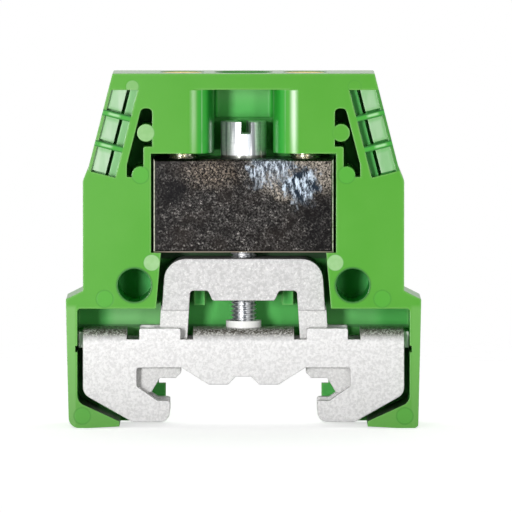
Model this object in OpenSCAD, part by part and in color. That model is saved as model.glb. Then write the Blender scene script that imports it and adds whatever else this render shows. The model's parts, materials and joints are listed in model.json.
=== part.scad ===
// Earth terminal block for a mounting rail.
// +Z is up, +X runs along the wire path and +Y runs away from the open side, along the rail.
// The origin is the middle of the footprint, on the surface that the housing's two pads stand on.

/* [Terminal body] */
// Length of the terminal body along the wire path
block_w = 34.6; // [33:0.1:37]
// Height of the terminal body
block_h = 18; // [17.5:0.1:21]
// Thickness of the terminal body along the rail
block_d = 13.1; // [12.6:0.1:13.6]
// Play behind the terminal body
block_back_clear = 0.5; // [0.3:0.05:0.8]
// Bevel round the front of the terminal body
block_bevel = 0.4; // [0.2:0.05:0.8]
// Bore for the wire in each end
wire_bore_d = 9.5; // [7:0.1:10.2]
// Depth of each wire bore
wire_bore_len = 12.5; // [11.5:0.1:13.2]
// Metal below the wire bore
wire_bore_floor = 2.15; // [1.5:0.05:3.2]
// Play between the terminal body and the sides of its pocket
block_clear = 0.5; // [0.2:0.05:1]
// Free height above the terminal body
block_headroom = 1.1; // [0.6:0.1:2]

/* [Wire clamp screws] */
// Distance of each clamp screw from its end of the terminal body
clamp_inset = 5.45; // [4.9:0.05:6.3]
// Thread diameter of a clamp screw
clamp_thread_d = 6; // [5:0.1:6.6]
// Head diameter of a clamp screw
clamp_head_d = 8; // [7.2:0.1:8.4]
// Head height of a clamp screw
clamp_head_h = 5; // [3:0.1:6.8]
// Width of the slot in a clamp screw's head
clamp_slot_w = 1.2; // [0.8:0.1:2]
// Depth of the slot in a clamp screw's head
clamp_slot_depth = 2; // [1:0.1:2.8]
// Height of the cone on a clamp screw's tip
clamp_tip_h = 1.2; // [0.4:0.1:2]
// Radius of the flat on a clamp screw's tip
clamp_tip_r = 2.2; // [1:0.1:2.4]
// How far a clamp screw's head lies below the top of the housing
clamp_head_recess = 0.1; // [0.1:0.1:3]
// Play between a clamp screw's head and its shaft
clamp_shaft_clear = 0.3; // [0.1:0.05:0.4]

/* [Rail screw] */
// Thread diameter of the rail screw
rail_thread_d = 5; // [4:0.1:5.6]
// Head diameter of the rail screw
rail_head_d = 8.8; // [7:0.1:9.6]
// Head height of the rail screw
rail_head_h = 7; // [4:0.1:8]
// Width of the slot in the rail screw's head
rail_slot_w = 1.95; // [1:0.05:2.4]
// Depth of the slot in the rail screw's head
rail_slot_depth = 2.3; // [1:0.1:3]
// Angle at which the slot was left
rail_slot_turn = 6.5; // [-90:0.5:90]
// How far the rail screw reaches below the web of the foot
rail_screw_reach = 4; // [1:0.1:5]
// Radial play of a screw in its thread
thread_clear = 0.05; // [0.02:0.01:0.1]
// Radial play of the rail screw where it passes through
pass_clear = 0.25; // [0.1:0.05:0.5]

/* [Clamp yoke] */
// Height of the yoke from the rail seat to its top
yoke_h = 23.1; // [22.5:0.1:26]
// Width of the yoke at its top
yoke_w = 30.2; // [29:0.1:31]
// Thickness of the yoke's bar along the rail
yoke_d = 10; // [8:0.1:11]
// Outward lean of the yoke's legs, in degrees
yoke_splay = 3.6; // [1:0.1:5]
// Radius of the yoke's upper corners
yoke_corner_r = 4.2; // [1:0.1:5]
// Height of the bar at the screw
yoke_bar_h = 8.05; // [7.5:0.05:9]
// Half width of the boss round the screw
yoke_boss_half = 6; // [5:0.1:6.6]
// Depth of the pockets beside the boss
yoke_pocket_depth = 1.9; // [1.4:0.1:3]
// Width of the slope between a pocket and the boss
yoke_pocket_slope = 0.8; // [0.4:0.1:1.2]
// Radius of the fillets in the pockets
yoke_fillet_r = 0.6; // [0.3:0.1:0.8]
// Width of a leg
yoke_leg_w = 5.2; // [4.4:0.05:5.4]
// How much wider a leg is where it has been pressed thinner
yoke_coin = 0.25; // [0.1:0.05:0.4]
// Distance between the outer edges of the flat seats that hold the rail
seat_w = 32.3; // [31:0.1:34]
// Distance between the lower edges of the slopes that lead the rail in
seat_low_w = 35.8; // [35.2:0.1:37]
// Height of the slope that guides the rail's edge
seat_slope_h = 2.9; // [2:0.1:4]
// Width of a flat rail seat
seat_flat_w = 3.1; // [2:0.1:4]
// Bevel at the inner end of a flat rail seat
seat_bevel = 1; // [0.6:0.1:1.2]
// Height of the bevelled inner edge
seat_edge_h = 1.2; // [1.1:0.1:2]
// Width of the toe outside each slope
toe_w = 2.9; // [2:0.1:3.4]
// Radius of the toe's corners
toe_r = 0.8; // [0.4:0.1:1]
// Height over which a leg widens to the toe
toe_flare_h = 3; // [2:0.1:4]
// Free height between the yoke and the terminal body
yoke_gap = 1.35; // [0.6:0.05:1.6]
// Play between the yoke's bar and the housing
yoke_clear = 0.9; // [0.3:0.05:1]
// Play between a leg and each flange of the foot
leg_clear = 0.3; // [0.2:0.05:0.5]

/* [Rail foot] */
// Width of the foot
foot_w = 61.9; // [58:0.1:68]
// Outer depth of the foot along the rail
foot_d = 12.6; // [12:0.1:14]
// Sheet thickness
foot_t = 2.4; // [2:0.05:2.6]
// Outer radius of the bends
bend_r = 2.7; // [2.7:0.1:3.4]
// Height of the foot from the hooks' lips to the web's top
foot_rise = 13.75; // [13:0.05:15]
// Height of the open hooks above the ground
hook_ground = 1.05; // [0.8:0.05:2]
// Height of a hook below its lip
hook_h = 4.1; // [3:0.1:4.3]
// Opening between the lips and the rail seats at rest
jaw_open = 4.2; // [3.4:0.1:4.6]
// Distance between the hooks' tips
tip_gap = 28.4; // [27.5:0.1:30]
// Radius under a hook's tip
tip_low_r = 1.9; // [1:0.1:2.2]
// Length of the level lip
lip_len = 2.4; // [1.5:0.1:3]
// Distance between the walls of the mouths
mouth_w = 41.2; // [40:0.1:42.5]
// Height of a mouth's wall foot above the lip
mouth_ramp_h = 2.8; // [2:0.1:3.2]
// Height of a mouth above the lip
mouth_h = 6.4; // [5.5:0.1:7]
// Radius of the corners in a mouth
mouth_r = 0.5; // [0.3:0.1:0.8]
// Width of the slanted corner below each hook
hook_slant_w = 9.5; // [6:0.1:10]
// Height of the slanted corner below each hook
hook_slant_h = 5.4; // [4.6:0.1:7]
// Radius at the slanted corner's upper end
hook_slant_r = 2.3; // [1:0.1:3]
// How far the front and back edges dip at the lobes, below the mouths' tops
lobe_drop = 3.3; // [2:0.1:3.5]
// Distance of a lobe from the middle
lobe_x = 4.85; // [4.5:0.05:5.2]
// Width of a lobe's level bottom
lobe_w = 3.8; // [2:0.1:4]
// Width of the slope outside a lobe
lobe_slope_w = 5.2; // [4:0.1:6]
// Width of the slope between a lobe and the arch in the middle
arch_slope_w = 1.5; // [1:0.1:2]
// Height of the arch in the middle
arch_h = 1.55; // [0.8:0.05:1.8]
// Radius of the lobes' corners
lobe_r = 0.8; // [0.4:0.1:0.9]
// Distance from the middle to the inner end of a leg window
window_in = 9.75; // [9.2:0.05:10.1]
// Distance from the middle to the outer end of a leg window
window_out = 22.5; // [21.8:0.1:23]
// Width of the relief cut beside each upright tab, towards the middle
relief_in = 2.4; // [2:0.1:3]
// Width of the relief cut beside each upright tab, towards the hook
relief_out = 2.4; // [2:0.1:3]
// Depth of the relief cuts below the web's top
relief_depth = 1.9; // [1:0.1:2.2]
// Height of the upright tabs above the web's top
tab_rise = 0.2; // [0.1:0.05:1.2]
// Radius of the upright tabs' corners
tab_r = 0.4; // [0.2:0.1:0.6]
// Height of the collar round the thread
collar_h = 1.4; // [1:0.1:2]
// Wall of the collar
collar_wall = 0.85; // [0.6:0.05:1.2]
// How far the web's ears reach past the flanges
ear_len = 0.85; // [0.5:0.05:1.5]
// How far an ear reaches below the web
ear_drop = 1.25; // [0.6:0.05:1.6]
// Height of an ear
ear_h = 3.1; // [2.6:0.1:3.6]
// Depth of an ear along the rail
ear_d = 8; // [5:0.1:9]
// Travel of the foot from open to closed
foot_travel = 3.2; // [2.4:0.1:3.4]

/* [Housing] */
// Wall that closes the housing's back
back_wall = 1.4; // [1:0.1:2.4]
// Play behind the foot
foot_back_clear = 0.3; // [0.2:0.05:0.5]
// How far the foot lies behind the housing's open side
foot_front_recess = 1.7; // [1:0.1:3]
// Moulded side beside the terminal body
side_w = 13.1; // [12.5:0.1:14]
// How far the top is set in from the sides
top_inset = 5.7; // [5:0.1:6.5]
// How far the foot of the slant is set in from the sides
slant_inset = 1.1; // [0.6:0.1:1.6]
// Height of the slant
slant_h = 18; // [17.6:0.1:19]
// Height of the bevel below the slant
bevel_h = 2.6; // [1.5:0.1:4]
// Radius at the slant's lower end
slant_r = 1.5; // [0.5:0.1:2]
// Height of the housing above the terminal body's pocket
tower_h = 15.4; // [15:0.1:18]
// Wall of the skirt beside the foot
skirt_wall = 2.2; // [1.5:0.1:3]
// Draft of the skirt down to the pads
skirt_draft = 0.55; // [0.2:0.05:0.8]
// Roof above the foot at the shoulder's lower end
shoulder_low = 1.8; // [1:0.1:2.4]
// Height of the shoulder's slope
shoulder_h = 1.65; // [1:0.05:2.4]
// Radius of the housing's outer corners
outline_r = 0.3; // [0.1:0.1:0.8]
// Play between an ear and the skirt
ear_clear = 0.2; // [0.1:0.05:0.4]
// Depth of the notch in the skirt below each ear
ear_notch_depth = 0.4; // [0.2:0.05:0.8]
// Height of the notch in the skirt below each ear
ear_notch_h = 1.2; // [1:0.1:2.4]
// Play above the tabs with the foot closed
roof_clear = 0.75; // [0.3:0.05:1.5]
// Play between the yoke's pressed line and the tabs with the foot closed
coin_clear = 0.2; // [0.1:0.05:0.6]
// Radius of the corners under the roof
roof_r = 0.6; // [0.2:0.1:1]
// Length of a pad under each skirt
pad_len = 10.3; // [8:0.1:11.2]
// Height of a pad at its tip
pad_tip_h = 1.3; // [1:0.1:1.6]
// Height of a pad at the skirt
pad_root_h = 5; // [4:0.1:5.6]
// Radius in the corner between a pad and its skirt
pad_root_r = 2; // [1:0.1:3]
// Length of a pad's level underside, from the skirt
pad_flat = 4; // [3:0.1:6]
// Rise of a pad's underside towards its tip
pad_rise = 0.3; // [0.1:0.05:0.5]
// Radius of the left pad's outer corner
pad_corner_left = 2; // [0.5:0.1:2.4]
// Radius of the right pad's outer corner
pad_corner_right = 0.8; // [0.5:0.1:2.4]

/* [Rail gate] */
// Half width of the opening for the rail in the back wall
gate_half = 15.1; // [14.6:0.1:15.8]
// Free height above the rail seat in the back wall
gate_headroom = 1.6; // [1:0.1:2.4]
// Free height below the rail seat for the rail's edge in the back wall
gate_edge_h = 1.7; // [1.2:0.1:2.4]
// Play at the rail's edge in the back wall
gate_edge_clear = 0.3; // [0.1:0.1:0.8]

/* [Screwdriver well] */
// Play between the rail screw's head and the well
well_clear = 1.3; // [0.6:0.1:1.5]
// Radius of the well's rounded front edges
well_edge_r = 4.9; // [3:0.1:5.2]
// Height of the strip across the well's front
well_strip_h = 3.1; // [2:0.1:5]
// Free height above the rail screw's head in its deep pocket
well_headroom = 0.5; // [0.4:0.1:2]
// Radius of the corners at the back of the well
well_corner_r = 1; // [0.4:0.1:2]

/* [Wire entries] */
// Play between a wire bore and its tunnel
tunnel_clear = 0.4; // [0.2:0.05:0.8]
// Depth of the funnel at a tunnel's mouth
funnel_len = 3; // [1:0.1:5]
// Widening of the funnel
funnel_flare = 1.4; // [0.5:0.1:1.8]

/* [Peg holes] */
// Diameter of the peg holes
peg_hole_d = 6.4; // [5:0.1:7]
// Depth of the peg holes
peg_hole_depth = 14; // [4:0.5:14.5]
// Distance of a peg hole from the terminal body's pocket
peg_hole_offset = 3.2; // [2.8:0.1:4.5]
// Height of a peg hole above the roof of the foot's space
peg_hole_rise = 4.5; // [4:0.1:5.5]

/* [Cored slots] */
// Floor behind the cored slots
core_floor = 2.6; // [1:0.1:6]
// How far a slot lies inside the line of the terminal body's pocket
core_inset = 0.25; // [0:0.05:0.5]
// Width of a slot at its top
core_top_w = 2.1; // [1.9:0.1:2.4]
// Width of a slot over its slanted run
core_w = 4.9; // [4.4:0.1:5.1]
// Width of the step in a slot's inner edge
core_step_w = 1.7; // [1.4:0.1:2]
// Height of a slot above the top of the terminal body's pocket
core_rise = 8.7; // [8:0.1:9.2]
// Height of the step above the top of the terminal body's pocket
core_step_rise = 1.35; // [1:0.05:1.8]
// How far the slanted run reaches below the top of the terminal body's pocket
core_run_drop = 2.2; // [1.6:0.1:2.6]
// How far a slot reaches below the top of the terminal body's pocket
core_drop = 4.5; // [4:0.1:4.8]
// Radius of a slot's corners
core_r = 0.9; // [0.5:0.1:0.95]
// Radius of the round post and the round pad at each slot
core_post_r = 1.7; // [1.4:0.1:1.8]
// Distance of the post from the slot's inner edge
core_post_x = 1.2; // [0.8:0.1:1.4]
// Height of the post above the top of the terminal body's pocket
core_post_rise = 4; // [3.6:0.1:4.4]
// Distance of the pad from the slot's inner edge
core_pad_x = 2.25; // [2:0.05:2.5]
// How far the pad lies below the top of the terminal body's pocket
core_pad_drop = 4.15; // [3.8:0.05:4.4]

/* [Marker cells] */
// Depth of the wide floor in each marker cell
cell_depth = 0.8; // [0.4:0.1:1.5]
// Depth of the narrow floor in each marker cell
strip_depth = 2.4; // [1.6:0.1:4]
// Rim outside the marker cells
cell_rim = 0.65; // [0.4:0.05:1]
// Width of the marker cells, from the rim to the solid side
cell_w = 4.85; // [4.2:0.05:5.2]
// Width of the thin groove that divides each cell
groove_w = 0.6; // [0.3:0.05:0.8]
// Depth of the thin groove
groove_depth = 7; // [4.5:0.5:10]
// Distance of the groove from the rim
groove_offset = 2.85; // [2:0.05:3.2]
// Thickness of the ribs between the cells
rib_t = 1.15; // [0.6:0.05:1.4]
// Width of the gap under each marker cell
sill_w = 0.35; // [0.2:0.05:0.6]
// Distance of the first cell's level top edge from the top
cells_top = 3.15; // [2.4:0.05:3.6]
// Distance of the first rib from the top, along the slant
first_rib = 7.05; // [6.6:0.05:7.4]
// Distance of the second rib from the top, along the slant
second_rib = 13.15; // [12.6:0.05:13.4]
// How far the last cell reaches past the slant's lower end
cells_past = 0.7; // [0:0.05:1]

/* [Yoke pegs] */
// Play between a peg and the sides of the yoke's pocket
yoke_peg_clear = 0.1; // [0.05:0.05:0.4]
// Height of the pegs that carry the yoke
yoke_peg_h = 3.2; // [1.5:0.1:3.4]
// How far the pegs reach under the yoke's bar
yoke_peg_reach = 3.2; // [1.5:0.1:5]

/* [Hidden] */
$fn = 64;
// Cuts run this far past the faces that they open
over = 1;
// Chords in one rounded corner of an outline
arc_steps = 8;

// Heights, from the pads up
foot_bottom_z = hook_ground;
lip_z = foot_bottom_z + hook_h;
seat_z = lip_z + jaw_open;
mouth_z = lip_z + mouth_h;
web_top_z = lip_z + foot_rise;
web_bottom_z = web_top_z - foot_t;
bend_z = web_top_z - bend_r;
tab_top_z = web_top_z + tab_rise;
relief_z = web_top_z - relief_depth;
coin_z = tab_top_z + foot_travel + coin_clear;
roof_z = tab_top_z + foot_travel + roof_clear;
yoke_top_z = seat_z + yoke_h;
boss_z = yoke_top_z - yoke_bar_h;
yoke_pocket_z = boss_z + yoke_pocket_depth;
block_z = yoke_top_z + yoke_gap;
block_top_z = block_z + block_h;
wire_z = block_z + wire_bore_floor + wire_bore_d / 2;
pocket_top_z = block_top_z + block_headroom;
housing_top_z = pocket_top_z + tower_h;
slant_z = housing_top_z - slant_h;
side_z = slant_z - bevel_h;
skirt_top_z = roof_z + shoulder_low;
shoulder_z = skirt_top_z + shoulder_h;
rail_head_z = block_top_z + rail_head_h;

// Half widths, from the middle out
block_half = block_w / 2;
pocket_half = block_half + block_clear;
body_half = pocket_half + side_w;
top_half = body_half - top_inset;
slant_half = body_half - slant_inset;
slant_angle = atan2(slant_half - top_half, slant_h);
foot_half = foot_w / 2;
ear_half = foot_half + ear_len;
cavity_half = ear_half + ear_clear;
skirt_half = cavity_half + skirt_wall;
pad_out = skirt_half - skirt_draft;
pad_tip = skirt_half - pad_len;
clamp_x = block_half - clamp_inset;
well_half = rail_head_d / 2 + well_clear;
shaft_r = clamp_head_d / 2 + clamp_shaft_clear;

// Depths, from the screws' plane
foot_back = foot_d / 2;
flange_in = foot_back - foot_t;
leg_half_d = flange_in - leg_clear;
inner_y = foot_back + foot_back_clear;
block_back = inner_y - block_back_clear;
block_front = block_back - block_d;
back_y = inner_y + back_wall;
front_y = -foot_back - foot_front_recess;

// Half widths of the yoke's edges at a height
function yoke_half(z) = yoke_w / 2 + (yoke_top_z - z) * tan(yoke_splay);
function leg_in(z) = yoke_half(z) - yoke_leg_w;

function unit(v) = v / norm(v);

// Arc of radius r that rounds the corner p between the directions a and b
function corner_arc(p, a, b, r) =
    let (half = acos(a * b) / 2,
         centre = p + unit(a + b) * r / sin(half),
         from = p + a * r / tan(half) - centre,
         to = p + b * r / tan(half) - centre,
         start = atan2(from[1], from[0]),
         turn = atan2(from[0] * to[1] - from[1] * to[0], from * to))
    [for (k = [0 : arc_steps])
        let (angle = start + turn * k / arc_steps)
        centre + r * [cos(angle), sin(angle)]];

// Points of an outline whose corners are given as [x, z, radius]
function rounded(corners) =
    [for (i = [0 : len(corners) - 1])
        let (n = len(corners),
             p = [corners[i][0], corners[i][1]],
             before = corners[(i + n - 1) % n],
             after = corners[(i + 1) % n],
             a = unit([before[0], before[1]] - p),
             b = unit([after[0], after[1]] - p))
        each corners[i][2] == 0 ? [p] : corner_arc(p, a, b, corners[i][2])];

// The mirror image of a half outline, listed the other way round
function mirrored(half) =
    [for (i = [len(half) - 1 : -1 : 0]) [-half[i][0], half[i][1], half[i][2]]];

// A whole outline from its right half, listed from the top middle to the bottom middle
function whole(half) = rounded(concat(half, mirrored(half)));

// A front outline made solid between two depths
module slab(y_from, y_to) {
    translate([0, y_to, 0])
        rotate([90, 0, 0])
            linear_extrude(y_to - y_from)
                children();
}

module both_sides() {
    children();
    mirror([1, 0, 0])
        children();
}

// Right side of the housing's outline, from the top down
function housing_side(corner_r) = [
    [top_half, housing_top_z, outline_r],
    [slant_half, slant_z, slant_r],
    [body_half, side_z, slant_r],
    [body_half, shoulder_z, outline_r],
    [skirt_half, skirt_top_z, outline_r],
    [pad_out, 0, corner_r],
    [pad_out - pad_flat, 0, 0],
    [pad_tip, pad_rise, 0]];

// Space for the terminal body, the yoke and the foot, open to the front and below
module inner_space() {
    yoke_space_top = yoke_half(block_z) + yoke_clear;
    yoke_space_low = yoke_half(roof_z) + yoke_clear + yoke_coin;
    slab(front_y - over, inner_y) {
        translate([-pocket_half, block_z])
            square([2 * pocket_half, pocket_top_z - block_z]);
        polygon(whole([
            [yoke_space_top, block_z + over, 0],
            [yoke_space_top, block_z, 0],
            [yoke_space_low, roof_z, 0],
            [yoke_space_low, roof_z - over, 0]]));
        polygon(whole([
            [cavity_half, roof_z, roof_r],
            [cavity_half, pad_root_h, pad_root_r],
            [pad_tip, pad_tip_h, 0],
            [pad_tip, -over, 0]]));
        both_sides()
            translate([cavity_half - over, web_bottom_z - ear_drop - ear_notch_h / 2])
                square([over + ear_notch_depth, ear_notch_h]);
    }
}

// Opening for the rail in the back wall, notched where the rail's edges pass
module rail_gate() {
    notch_half = seat_w / 2 + gate_edge_clear;
    slab(inner_y - over, back_y + over) {
        translate([-gate_half, -over])
            square([2 * gate_half, seat_z + gate_headroom + over]);
        translate([-notch_half, seat_z - gate_edge_h])
            square([2 * notch_half, gate_edge_h + gate_headroom]);
    }
}

// Well for the rail screw: a round shaft through the top, then a chamber with a flat back that is open to
// the front, and a deeper pocket for the screw's head
module screw_well() {
    chamber_top_z = housing_top_z - well_strip_h;
    translate([0, 0, chamber_top_z - over])
        cylinder(r = well_half, h = well_strip_h + 2 * over);
    translate([0, 0, pocket_top_z - over])
        linear_extrude(chamber_top_z - pocket_top_z + over) {
            polygon(rounded([
                [-well_half, front_y - over, 0],
                [well_half, front_y - over, 0],
                [well_half, well_half, well_corner_r],
                [-well_half, well_half, well_corner_r]]));
            both_sides()
                difference() {
                    translate([well_half - over, front_y - over])
                        square([well_edge_r + over, well_edge_r + over]);
                    translate([well_half + well_edge_r, front_y + well_edge_r])
                        circle(r = well_edge_r);
                }
        }
    translate([-well_half, -over, pocket_top_z - over])
        cube([2 * well_half, inner_y + over, rail_head_z + well_headroom - pocket_top_z + over]);
}

module clamp_shafts() {
    both_sides()
        translate([clamp_x, 0, pocket_top_z - over])
            cylinder(r = shaft_r, h = tower_h + 2 * over);
}

// Tunnel from the side to the wire bore, with a funnel at its mouth
module wire_tunnels() {
    tunnel_r = wire_bore_d / 2 + tunnel_clear;
    both_sides()
        translate([pocket_half - over, 0, wire_z])
            rotate([0, 90, 0]) {
                cylinder(r = tunnel_r, h = side_w + 2 * over);
                translate([0, 0, side_w + over - funnel_len])
                    cylinder(r1 = tunnel_r, r2 = tunnel_r + funnel_flare, h = funnel_len);
            }
}

module peg_holes() {
    both_sides()
        translate([pocket_half + peg_hole_offset, front_y - over, roof_z + peg_hole_rise])
            rotate([-90, 0, 0])
                cylinder(d = peg_hole_d, h = peg_hole_depth + over);
}

// Deep slot beside each tower, crossed by a round post and shaped round a round pad
module cored_slots() {
    inner = pocket_half - core_inset;
    step = inner + core_step_w;
    outer = inner + core_w;
    top_z = pocket_top_z + core_rise;
    step_z = pocket_top_z + core_step_rise;
    run_z = pocket_top_z - core_run_drop;
    low_z = pocket_top_z - core_drop;
    both_sides()
        slab(front_y - over, back_y - core_floor)
            difference() {
                polygon(rounded([
                    [inner, top_z, core_r],
                    [inner + core_top_w, top_z, core_r],
                    [outer, run_z, core_r],
                    [outer, low_z, 0],
                    [step, low_z, 0],
                    [step, step_z, core_r / 2],
                    [inner, step_z, 0]]));
                translate([inner + core_post_x, pocket_top_z + core_post_rise])
                    circle(r = core_post_r);
                translate([inner + core_pad_x, pocket_top_z - core_pad_drop])
                    circle(r = core_post_r);
            }
}

// Marker cells along each slant: a wide and a narrow floor between ribs, parted by a thin deep groove
module marker_cells() {
    starts = [0, first_rib + rib_t, second_rib + rib_t];
    ends = [first_rib, second_rib, slant_h / cos(slant_angle) + cells_past];
    both_sides()
        intersection() {
            for (i = [0 : 2]) {
                cell_cut(cell_depth, groove_offset, 0, starts[i], ends[i]);
                cell_cut(strip_depth, cell_w, groove_offset, starts[i], ends[i]);
                cell_cut(groove_depth, groove_offset + groove_w, groove_offset, starts[i], ends[i]);
                cell_cut(strip_depth, cell_w, 0, ends[i] - sill_w, ends[i]);
            }
            slab(front_y - over, back_y)
                square([body_half, housing_top_z - cells_top]);
        }
}

// A cut into the front along the right slant, between two distances from the rim and two from the top
module cell_cut(depth, inner, outer, start, end) {
    slab(front_y - over, front_y + depth)
        translate([top_half, housing_top_z])
            rotate(slant_angle)
                translate([-cell_rim - inner, -end])
                    square([inner - outer, end - start]);
}

// Pegs on the back wall that the yoke's pockets hang on
module yoke_pegs() {
    peg_in = yoke_boss_half + yoke_pocket_slope + yoke_fillet_r + yoke_peg_clear;
    peg_out = leg_in(yoke_pocket_z) - yoke_fillet_r - yoke_peg_clear;
    peg_front = yoke_d / 2 - yoke_peg_reach;
    both_sides()
        translate([peg_in, peg_front, yoke_pocket_z - yoke_peg_h])
            cube([peg_out - peg_in, inner_y + back_wall / 2 - peg_front, yoke_peg_h]);
}

module housing() {
    color("#64b54b") {
        difference() {
            slab(front_y, back_y)
                polygon(rounded(concat(housing_side(pad_corner_right),
                                       mirrored(housing_side(pad_corner_left)))));
            inner_space();
            rail_gate();
            screw_well();
            clamp_shafts();
            wire_tunnels();
            peg_holes();
            cored_slots();
            marker_cells();
        }
        yoke_pegs();
    }
}

// Outline of the terminal body between two ends, bevelled at the front
function bevelled(low, high) = [
    [low, block_back],
    [low, block_front + block_bevel],
    [low + block_bevel, block_front],
    [high - block_bevel, block_front],
    [high, block_front + block_bevel],
    [high, block_back]];

// Conducting body, with a blind wire bore in each end and a thread above each
module terminal_body() {
    color("#6b6661")
        difference() {
            intersection() {
                translate([0, 0, block_z])
                    linear_extrude(block_h)
                        polygon(bevelled(-block_half, block_half));
                translate([-block_half, 0, 0])
                    rotate([90, 0, 90])
                        linear_extrude(block_w)
                            polygon([for (p = bevelled(block_z, block_top_z)) [p[1], p[0]]]);
            }
            translate([0, 0, block_z - over])
                cylinder(r = rail_thread_d / 2 + pass_clear, h = block_h + 2 * over);
            both_sides() {
                translate([block_half - wire_bore_len, 0, wire_z])
                    rotate([0, 90, 0])
                        cylinder(d = wire_bore_d, h = wire_bore_len + over);
                translate([clamp_x, 0, wire_z])
                    cylinder(r = clamp_thread_d / 2 + thread_clear, h = block_top_z - wire_z + over);
            }
        }
}

// Slotted screw that presses on the wire, drawn fully open
module clamp_screw() {
    tip_z = wire_z + wire_bore_d / 2;
    head_top_z = housing_top_z - clamp_head_recess;
    head_z = head_top_z - clamp_head_h;
    color("#d9c65a")
        difference() {
            union() {
                translate([0, 0, head_z])
                    cylinder(d = clamp_head_d, h = clamp_head_h);
                translate([0, 0, tip_z + clamp_tip_h])
                    cylinder(d = clamp_thread_d, h = head_top_z - clamp_slot_depth - tip_z - clamp_tip_h);
                translate([0, 0, tip_z])
                    cylinder(r1 = clamp_tip_r, r2 = clamp_thread_d / 2, h = clamp_tip_h);
            }
            translate([-clamp_head_d, -clamp_slot_w / 2, head_top_z - clamp_slot_depth])
                cube([2 * clamp_head_d, clamp_slot_w, clamp_slot_depth + over]);
        }
}

module clamp_screw_left() {
    translate([-clamp_x, 0, 0])
        clamp_screw();
}

module clamp_screw_right() {
    translate([clamp_x, 0, 0])
        clamp_screw();
}

// Long slotted screw that draws the foot up against the rail
module rail_screw() {
    tip_z = web_bottom_z - rail_screw_reach;
    slot_z = rail_head_z - rail_slot_depth;
    color("#e8e8e6")
        difference() {
            union() {
                translate([0, 0, block_top_z])
                    cylinder(d = rail_head_d, h = rail_head_h);
                translate([0, 0, tip_z])
                    cylinder(d = rail_thread_d, h = slot_z - tip_z);
            }
            translate([0, 0, slot_z])
                rotate([0, 0, rail_slot_turn])
                    translate([-rail_slot_w / 2, -rail_head_d, 0])
                        cube([rail_slot_w, 2 * rail_head_d, rail_slot_depth + over]);
        }
}

// Bar of the yoke down to the line where its legs were pressed thinner
module yoke_bar() {
    slab(-yoke_d / 2, yoke_d / 2)
        polygon(whole([
            [yoke_half(yoke_top_z), yoke_top_z, yoke_corner_r],
            [yoke_half(coin_z), coin_z, 0],
            [leg_in(coin_z), coin_z, 0],
            [leg_in(yoke_pocket_z), yoke_pocket_z, yoke_fillet_r],
            [yoke_boss_half + yoke_pocket_slope, yoke_pocket_z, yoke_fillet_r],
            [yoke_boss_half, boss_z, yoke_fillet_r]]));
}

// Pressed leg that passes through the foot's web and ends in a seat for the rail's edge
module yoke_leg() {
    toe_out = seat_low_w / 2 + toe_w;
    toe_z = seat_z - seat_slope_h;
    seat_in = seat_w / 2 - seat_flat_w;
    leg_top_z = coin_z + over;
    slab(-leg_half_d, leg_half_d)
        polygon(rounded([
            [yoke_half(leg_top_z) + yoke_coin, leg_top_z, 0],
            [yoke_half(web_bottom_z) + yoke_coin, web_bottom_z, toe_r],
            [toe_out, web_bottom_z - toe_flare_h, toe_r],
            [toe_out, toe_z, toe_r],
            [seat_low_w / 2, toe_z, 0],
            [seat_w / 2, seat_z, 0],
            [seat_in, seat_z, 0],
            [seat_in - seat_bevel, seat_z + seat_bevel, 0],
            [seat_in - seat_bevel, seat_z + seat_bevel + seat_edge_h, 0],
            [leg_in(web_bottom_z), web_bottom_z, 0],
            [leg_in(leg_top_z), leg_top_z, 0]]));
}

module clamp_yoke() {
    color("#dededa")
        difference() {
            union() {
                yoke_bar();
                both_sides()
                    yoke_leg();
            }
            translate([0, 0, boss_z - over])
                cylinder(r = rail_thread_d / 2 + pass_clear, h = yoke_bar_h + 2 * over);
        }
}

// Outline of a flange below the bends, with both hooks and the wavy edge between them
module flange_outline() {
    tip_half = tip_gap / 2;
    mouth_half = mouth_w / 2;
    lobe_z = mouth_z - lobe_drop;
    lobe_out = lobe_x + lobe_w / 2;
    lobe_in = lobe_x - lobe_w / 2;
    polygon(whole([
        [foot_half, bend_z, 0],
        [foot_half, foot_bottom_z + hook_slant_h, hook_slant_r],
        [foot_half - hook_slant_w, foot_bottom_z, lobe_r],
        [tip_half, foot_bottom_z, tip_low_r],
        [tip_half, lip_z, mouth_r],
        [tip_half + lip_len, lip_z, lobe_r],
        [mouth_half, lip_z + mouth_ramp_h, mouth_r],
        [mouth_half, mouth_z, mouth_r],
        [lobe_out + lobe_slope_w, mouth_z, lobe_r],
        [lobe_out, lobe_z, lobe_r],
        [lobe_in, lobe_z, lobe_r],
        [lobe_in - arch_slope_w, lobe_z + arch_h, lobe_r]]));
}

// Upright tabs between relief cuts, in front of and behind each leg
module tab_outline() {
    both_sides() {
        translate([window_in, bend_z - over])
            square([window_out - window_in, relief_z - bend_z + over]);
        polygon(rounded([
            [window_in + relief_in, bend_z - over, 0],
            [window_out - relief_out, bend_z - over, 0],
            [window_out - relief_out, tab_top_z, tab_r],
            [window_in + relief_in, tab_top_z, tab_r]]));
    }
}

// Section across the foot's bends: a band from a lower edge up to two rounded corners
module bend_section(half_d, low_z, top_z, r) {
    translate([-half_d, low_z])
        square([2 * half_d, top_z - r - low_z]);
    translate([r - half_d, low_z])
        square([2 * (half_d - r), top_z - low_z]);
    for (side = [-1, 1])
        translate([side * (half_d - r), top_z - r])
            circle(r = r);
}

// Bent stretch of the foot between two places along its width
module bent_stretch(x_from, x_to) {
    translate([x_from, 0, 0])
        rotate([90, 0, 90])
            linear_extrude(x_to - x_from)
                difference() {
                    bend_section(foot_back, bend_z - over, web_top_z, bend_r);
                    bend_section(flange_in, bend_z - bend_r - over, web_bottom_z, bend_r - foot_t);
                }
}

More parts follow.
